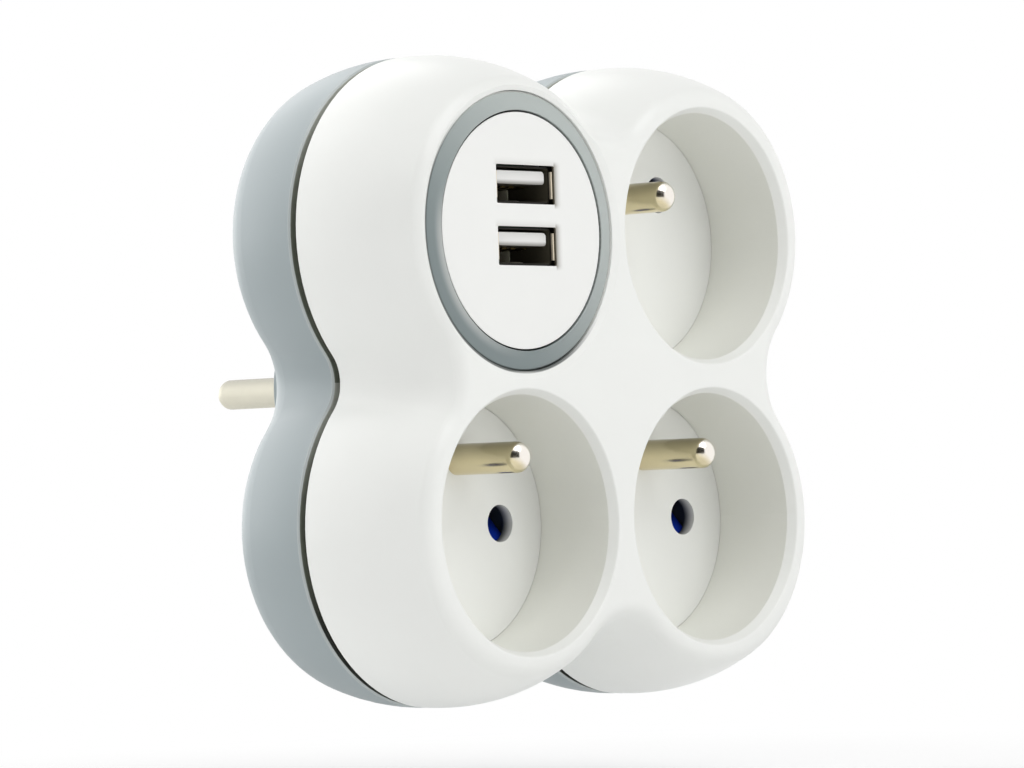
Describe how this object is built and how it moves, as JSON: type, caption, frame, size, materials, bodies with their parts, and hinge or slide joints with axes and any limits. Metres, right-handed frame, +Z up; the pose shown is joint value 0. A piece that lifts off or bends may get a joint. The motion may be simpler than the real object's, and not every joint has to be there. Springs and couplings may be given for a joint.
{
  "type": "plug-in socket adaptor with usb ports",
  "caption": "Clover-shaped plug-in wall adaptor in white and grey plastic, with round recessed earthed outlets and a ringed USB charging panel.",
  "frame": {"origin": "centre of the plug's end face, midway between the two pins", "axes": "+Z up, +Y along the pins towards the wall, so the outlets face -Y; +X to the right seen from the front"},
  "size_m": [0.1, 0.077, 0.1],
  "materials": {
    "white_gloss": "moulded, satin gloss",
    "grey_satin": "moulded, fine satin",
    "blue_shutter": "moulded, smooth",
    "carrier_plastic": "moulded",
    "nickel": "nickel plated, polished",
    "contact_brass": "stamped strip",
    "port_steel": "drawn and plated",
    "board_green": "laminate",
    "ferrite": "sintered core and tape",
    "can_aluminium": "drawn can",
    "lead_brown": "insulated lead",
    "lead_blue": "insulated lead"
  },
  "bodies": {
    "adaptor": {"front_cover": "white_gloss", "usb_faceplate": "white_gloss", "usb_upper_tongue": "white_gloss", "usb_lower_tongue": "white_gloss", "socket_floor_lower_left": "white_gloss", "socket_floor_lower_right": "white_gloss", "socket_floor_upper_right": "white_gloss", "rear_housing": "grey_satin", "plug_body": "grey_satin", "usb_ring": "grey_satin", "contact_carrier": "carrier_plastic", "plug_pin_left": "nickel", "plug_pin_right": "nickel", "earth_pin_lower_left": "nickel", "earth_pin_lower_right": "nickel", "earth_pin_upper_right": "nickel", "line_busbar": "contact_brass", "neutral_busbar": "contact_brass", "earth_strip": "contact_brass", "plug_earth_contact": "contact_brass", "usb_upper_contacts": "contact_brass", "usb_lower_contacts": "contact_brass", "usb_upper_shell": "port_steel", "usb_lower_shell": "port_steel", "housing_screws": "port_steel", "shutter_spring_lower_left": "port_steel", "shutter_spring_lower_right": "port_steel", "shutter_spring_upper_right": "port_steel", "usb_board": "board_green", "usb_transformer": "ferrite", "usb_input_capacitor": "can_aluminium", "usb_output_capacitor": "can_aluminium", "usb_line_lead": "lead_brown", "usb_neutral_lead": "lead_blue"},
    "shutter_lower_left": {"shutter_lower_left": "blue_shutter"},
    "shutter_lower_right": {"shutter_lower_right": "blue_shutter"},
    "shutter_upper_right": {"shutter_upper_right": "blue_shutter"}
  },
  "joints": [
    {"name": "shutter_lower_left_slide", "type": "slide", "parent": "adaptor", "child": "shutter_lower_left", "axis": [0, 0, -1], "range_m": [0, 0.0064], "stiffness_N_per_m": 120, "springref_m": -0.004, "deforming": ["shutter_spring_lower_left"]},
    {"name": "shutter_lower_right_slide", "type": "slide", "parent": "adaptor", "child": "shutter_lower_right", "axis": [0, 0, -1], "range_m": [0, 0.0064], "stiffness_N_per_m": 120, "springref_m": -0.004, "deforming": ["shutter_spring_lower_right"]},
    {"name": "shutter_upper_right_slide", "type": "slide", "parent": "adaptor", "child": "shutter_upper_right", "axis": [0.788, 0, -0.6157], "range_m": [0, 0.0064], "stiffness_N_per_m": 120, "springref_m": -0.004, "deforming": ["shutter_spring_upper_right"]}
  ]
}
